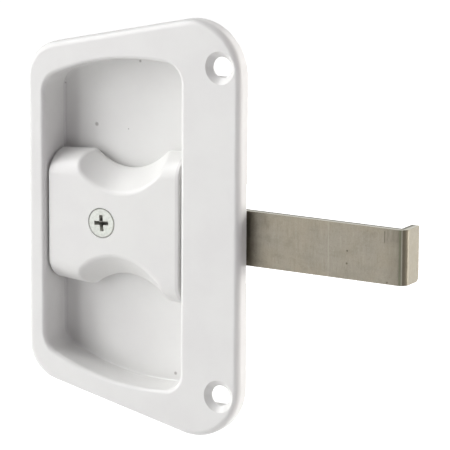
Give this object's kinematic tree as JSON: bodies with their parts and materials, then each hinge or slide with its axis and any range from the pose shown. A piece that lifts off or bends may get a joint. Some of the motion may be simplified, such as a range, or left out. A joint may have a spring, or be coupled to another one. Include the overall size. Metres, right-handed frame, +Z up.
{
  "type": "sliding screen door latch",
  "caption": "Recessed pull for a sliding screen door, with a thumb slide that lifts and drops a hooked steel latch strip.",
  "frame": {"origin": "midway between the two screw holes, on the door face that the flange rests on", "axes": "+X towards the strike along the latch strip, +Y into the door, +Z up"},
  "size_m": [0.097, 0.0113, 0.097],
  "materials": {
    "white_plastic": "fine moulded satin, bright white",
    "strip_steel": "dull warm-grey plated strip, faint scuffs and a coined bend",
    "plated_steel": "pale zinc plating, slightly clouded",
    "spring_steel": "plain spring steel"
  },
  "bodies": {
    "housing": {"faceplate": "white_plastic"},
    "slide": {"thumb_slide": "white_plastic", "latch_strip": "strip_steel", "clamp_screw": "plated_steel", "clamp_nut": "plated_steel", "friction_spring": "spring_steel"}
  },
  "joints": [
    {"name": "latch_slide", "type": "slide", "parent": "housing", "child": "slide", "axis": [0, 0, 1], "range_m": [-0.00375, 0.00625]}
  ]
}
